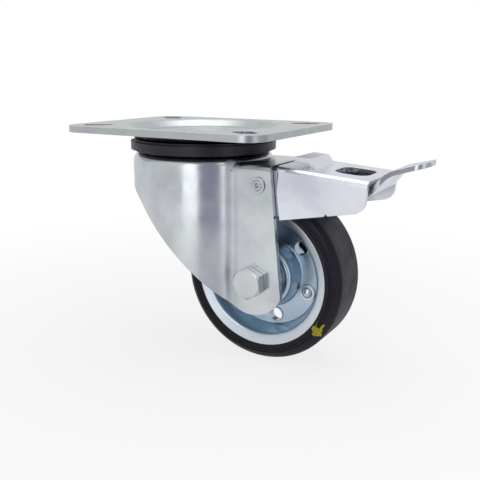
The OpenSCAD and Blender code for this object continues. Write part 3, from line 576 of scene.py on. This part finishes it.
# The photograph's viewpoint
CAMERA_EYE = Vector((180.036, -274.824, 24.716)) * MM
CAMERA_RIGHT = Vector((0.864445, 0.502722, 0.002227))
CAMERA_UP = Vector((-0.124377, 0.209574, 0.969850))
CAMERA_LENS = 50.384

WHITE = (1.0, 1.0, 1.0, 1.0)
# Compass directions from the castor to the unlit corner and the unlit side of the studio
DIM_CORNER = (0.656, -0.755, 0.0)
DIM_SIDE = (0.94, 0.342, 0.0)
# Angles in degrees from those directions where the dimness starts and where it is full
CORNER_START, CORNER_FULL = 21, 13
SIDE_START, SIDE_FULL = 40, 24
# Upright softboxes: name, compass angle in degrees, width in metres, and brightness over the wall behind
SOFTBOXES = (
    ("left_softbox", -78, 0.14, 0.95),
    ("right_softbox", -24, 0.1, 0.4),
)
SOFTBOX_DISTANCE, SOFTBOX_HEIGHT = 0.35, 0.5
TOP_SIDE, TOP_POWER = 1.0, 4.4
TOP_PLACE = (0.0, 0.15, 0.95)
# Strength of the world on the rays that light the object
WORLD_LIGHT = 0.45
# Distances in metres over which the floor turns white to the eye, and its share of white near the castor
FADE_START, FADE_END, NEAR_WHITE = 0.08, 0.34, 0.8
# Distances over which a mirror sees the lit floor turn into the far room and the dim floor into the corner
ROOM_START, ROOM_END = 0.15, 0.45
DIM_START, DIM_END = 0.28, 0.38


def add_softbox(context, name, compass, width, brightness):
    """An upright softbox on the floor that faces the castor, with the brightness of its cloth."""
    low = CAD_BOX[0].z
    high = low + SOFTBOX_HEIGHT
    place = Vector((
        SOFTBOX_DISTANCE * math.cos(compass), SOFTBOX_DISTANCE * math.sin(compass), (low + high) / 2))
    data = bpy.data.lights.new(name, "AREA")
    data.shape, data.size, data.size_y = "RECTANGLE", width, high - low
    data.energy = brightness * math.pi * width * (high - low)
    lamp = bpy.data.objects.new(name, data)
    lamp.location = place
    lamp.rotation_euler = Vector((-place.x, -place.y, 0.0)).to_track_quat("-Z", "Y").to_euler()
    context.scene.collection.objects.link(lamp)


def facing(tree, compass, direction, out_angle, in_angle):
    """1 inside an angle to a compass direction and 0 outside a wider one."""
    near = add_node(tree, "ShaderNodeVectorMath", {0: compass, 1: direction}, operation="DOT_PRODUCT")
    return add_node(tree, "ShaderNodeMapRange", {
        "Value": near.outputs["Value"],
        "From Min": math.cos(math.radians(out_angle)),
        "From Max": math.cos(math.radians(in_angle)),
    }, interpolation_type="SMOOTHSTEP").outputs["Result"]


def studio_colour(tree, way, main, corner, side):
    """Plain white studio to the camera; a mirror also finds its unlit corner and side."""
    flat = add_node(tree, "ShaderNodeVectorMath", {0: way, 1: (1.0, 1.0, 0.0)},
                    operation="MULTIPLY").outputs[0]
    compass = add_node(tree, "ShaderNodeVectorMath", {0: flat}, operation="NORMALIZE").outputs[0]
    room = main
    for share, colour in (
        (facing(tree, compass, DIM_CORNER, CORNER_START, CORNER_FULL), corner),
        (facing(tree, compass, DIM_SIDE, SIDE_START, SIDE_FULL), side),
        (add_node(tree, "ShaderNodeLightPath").outputs["Is Camera Ray"], WHITE),
    ):
        room = add_node(tree, "ShaderNodeMix", {FACTOR: share, FIRST: room, SECOND: colour},
                        data_type="RGBA").outputs[MIXED]
    return room


def white_to_eye(tree):
    """1 on rays from the camera, in a mirror or through glass, and 0 on the rays that light the object."""
    path = add_node(tree, "ShaderNodeLightPath").outputs
    seen = add_node(tree, "ShaderNodeMath", {0: path["Is Camera Ray"], 1: path["Is Glossy Ray"]},
                    operation="ADD")
    return add_node(tree, "ShaderNodeMath", {0: seen.outputs[0], 1: path["Is Transmission Ray"]},
                    operation="ADD", use_clamp=True).outputs[0]


class CASTOR_OT_add_stage(bpy.types.Operator):
    """Sets up the floor, the soft studio light and the camera."""

    bl_idname = "castor.add_stage"
    bl_label = "Add Stage"

    def execute(self, context):
        scene, colours, sizes = context.scene, context.scene.castor_colours, context.scene.castor_sizes
        bm = bmesh.new()
        bmesh.ops.create_grid(bm, x_segments=1, y_segments=1, size=sizes.floor_size / 2)
        bmesh.ops.translate(bm, verts=bm.verts, vec=(0.0, 0.0, CAD_BOX[0].z))
        mesh = bpy.data.meshes.new("studio_floor")
        bm.to_mesh(mesh)
        bm.free()
        floor = bpy.data.objects.new("studio_floor", mesh)
        scene.collection.objects.link(floor)

        # Matt white floor near the castor that fades to plain white, so that no horizon shows
        material, tree, place = new_material("studio_floor_white")
        distance = add_node(tree, "ShaderNodeVectorMath", {0: place}, operation="LENGTH").outputs["Value"]
        fade = add_node(tree, "ShaderNodeMapRange", {
            "Value": distance, "From Min": FADE_START, "From Max": FADE_END, "To Min": NEAR_WHITE,
        }, interpolation_type="SMOOTHSTEP").outputs["Result"]
        factor = add_node(tree, "ShaderNodeMath", {0: fade, 1: white_to_eye(tree)},
                          operation="MULTIPLY").outputs[0]
        matt = add_node(tree, "ShaderNodeBsdfDiffuse", {"Color": colours.floor})
        away = add_node(tree, "ShaderNodeMapRange", {
            "Value": distance, "From Min": ROOM_START, "From Max": ROOM_END,
        }).outputs["Result"]
        lit = add_node(tree, "ShaderNodeMix", {FACTOR: away, FIRST: WHITE, SECOND: colours.far_room},
                       data_type="RGBA").outputs[MIXED]
        beyond = add_node(tree, "ShaderNodeMapRange", {
            "Value": distance, "From Min": DIM_START, "From Max": DIM_END,
        }).outputs["Result"]
        unlit = add_node(tree, "ShaderNodeMix", {
            FACTOR: beyond, FIRST: colours.dim_floor, SECOND: colours.dim_corner,
        }, data_type="RGBA").outputs[MIXED]
        white = add_node(tree, "ShaderNodeEmission", {
            "Color": studio_colour(tree, place, lit, unlit, colours.dim_side),
        })
        mix = add_node(tree, "ShaderNodeMixShader", {0: factor, 1: matt.outputs[0], 2: white.outputs[0]})
        add_node(tree, "ShaderNodeOutputMaterial", {"Surface": mix.outputs[0]})
        mesh.materials.append(material)

        world = bpy.data.worlds.new("studio_white")
        scene.world = world
        world.use_nodes = True
        tree = world.node_tree
        tree.nodes.clear()
        way = add_node(tree, "ShaderNodeTexCoord").outputs["Generated"]
        level = add_node(tree, "ShaderNodeMapRange", {"Value": white_to_eye(tree), "To Min": WORLD_LIGHT})
        sky = add_node(tree, "ShaderNodeBackground", {
            "Color": studio_colour(tree, way, colours.far_room, colours.dim_corner, colours.dim_side),
            "Strength": level.outputs["Result"],
        })
        add_node(tree, "ShaderNodeOutputWorld", {"Surface": sky.outputs[0]})

        for name, degrees, width, brightness in SOFTBOXES:
            add_softbox(context, name, math.radians(degrees), width, brightness)
        data = bpy.data.lights.new("top_softbox", "AREA")
        data.shape, data.size, data.energy = "SQUARE", TOP_SIDE, TOP_POWER
        lamp = bpy.data.objects.new("top_softbox", data)
        lamp.location = TOP_PLACE
        scene.collection.objects.link(lamp)

        data = bpy.data.cameras.new("photo_view")
        data.lens, data.sensor_width, data.sensor_fit = CAMERA_LENS, 36.0, "AUTO"
        data.clip_start, data.clip_end = 0.01, 20.0
        camera = bpy.data.objects.new("photo_view", data)
        axes = Matrix((CAMERA_RIGHT, CAMERA_UP, CAMERA_RIGHT.cross(CAMERA_UP))).transposed()
        camera.matrix_world = Matrix.Translation(CAMERA_EYE) @ axes.to_4x4()
        scene.collection.objects.link(camera)
        scene.camera = camera
        scene.view_settings.view_transform = "Standard"
        return {"FINISHED"}


class CASTOR_PT_panel(bpy.types.Panel):
    """Lists the castor's finishes and stage."""

    bl_idname = "CASTOR_PT_panel"
    bl_label = "Castor"
    bl_space_type = "VIEW_3D"
    bl_region_type = "UI"
    bl_category = "Castor"

    def draw(self, context):
        for operator in OPERATORS:
            self.layout.operator(operator.bl_idname)
        for group in (context.scene.castor_colours, context.scene.castor_sizes):
            column = self.layout.column()
            for name in group.__annotations__:
                column.prop(group, name)


OPERATORS = (
    CASTOR_OT_add_stage,
    CASTOR_OT_finish_plate,
    CASTOR_OT_finish_fork,
    CASTOR_OT_finish_lever,
    CASTOR_OT_finish_rims,
    CASTOR_OT_finish_tyre,
    CASTOR_OT_finish_plastics,
    CASTOR_OT_finish_bearings,
    CASTOR_OT_add_bolt_thread,
    CASTOR_OT_add_paint_mark,
)
CLASSES = (CastorColours, CastorSizes) + OPERATORS + (CASTOR_PT_panel,)


def register():
    for cls in CLASSES:
        bpy.utils.register_class(cls)
    bpy.types.Scene.castor_colours = bpy.props.PointerProperty(type=CastorColours)
    bpy.types.Scene.castor_sizes = bpy.props.PointerProperty(type=CastorSizes)


def unregister():
    del bpy.types.Scene.castor_sizes
    del bpy.types.Scene.castor_colours
    for cls in reversed(CLASSES):
        bpy.utils.unregister_class(cls)


def main():
    register()
    bpy.ops.castor.add_stage()
    bpy.ops.castor.finish_plate()
    bpy.ops.castor.finish_fork()
    bpy.ops.castor.finish_lever()
    bpy.ops.castor.finish_rims()
    bpy.ops.castor.finish_tyre()
    bpy.ops.castor.finish_plastics()
    bpy.ops.castor.finish_bearings()
    bpy.ops.castor.add_bolt_thread()
    bpy.ops.castor.add_paint_mark()
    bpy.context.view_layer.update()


if __name__ == "__main__":
    main()
